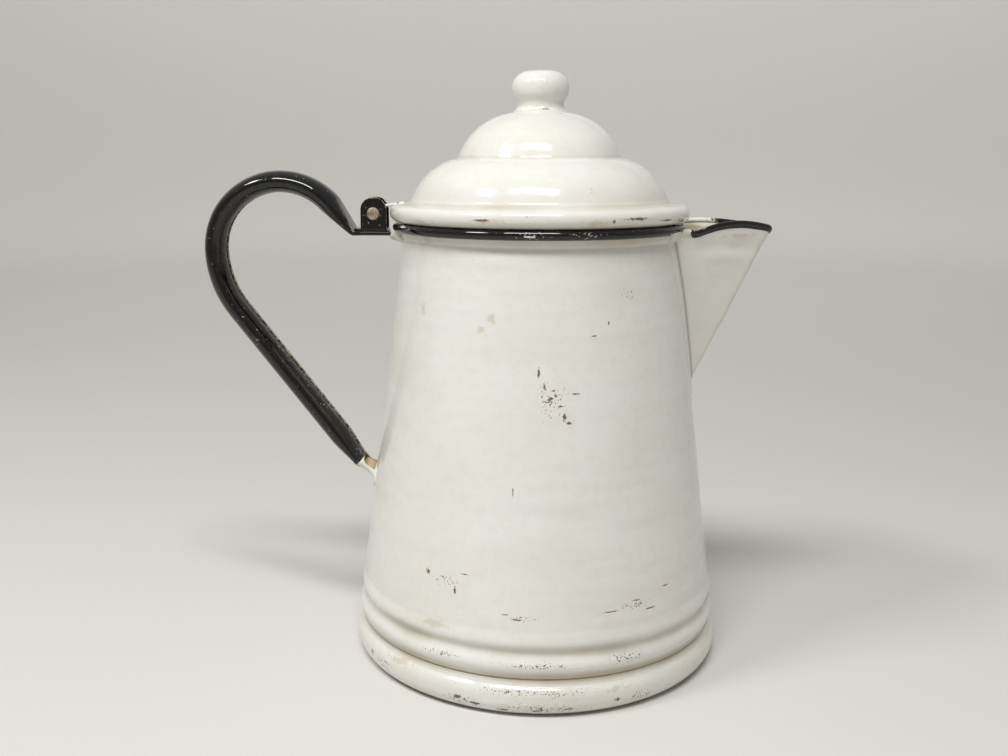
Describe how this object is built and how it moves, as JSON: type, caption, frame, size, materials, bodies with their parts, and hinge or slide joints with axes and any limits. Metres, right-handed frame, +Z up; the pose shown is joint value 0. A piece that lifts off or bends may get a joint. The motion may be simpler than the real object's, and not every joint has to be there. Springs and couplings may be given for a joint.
{
  "type": "enamel coffee pot",
  "caption": "Enamelled sheet-steel coffee pot: tapered body on a rounded base, folded V spout, rolled loop handle, and a domed lid with a knob, hinged on a riveted clevis",
  "frame": {"origin": "centre of the round base, on the plane it stands on", "axes": "+Z up, +X towards the spout, so the handle and hinge are at -X; Y is across the pot and parallel to the hinge pin"},
  "size_m": [0.2658, 0.176, 0.2729],
  "materials": {
    "white_enamel": "glossy vitreous enamel on sheet steel, chipped and speckled",
    "black_enamel": "glossy black vitreous enamel on sheet steel, worn at the edges",
    "rivet_steel": "worn bare steel"
  },
  "bodies": {
    "pot": {"body": "white_enamel", "base_pan": "white_enamel", "spout": "white_enamel", "handle": "black_enamel", "upper_bracket": "white_enamel", "lower_bracket": "white_enamel", "hinge_clevis": "black_enamel", "hinge_rivet": "rivet_steel"},
    "lid": {"lid": "white_enamel", "lid_knob": "white_enamel", "lid_strap": "white_enamel"}
  },
  "joints": [
    {"name": "lid_hinge", "type": "hinge", "parent": "pot", "child": "lid", "pos_m": [-0.0772, 0, 0.2088], "axis": [0, -1, 0], "range_deg": [0, 113]}
  ]
}
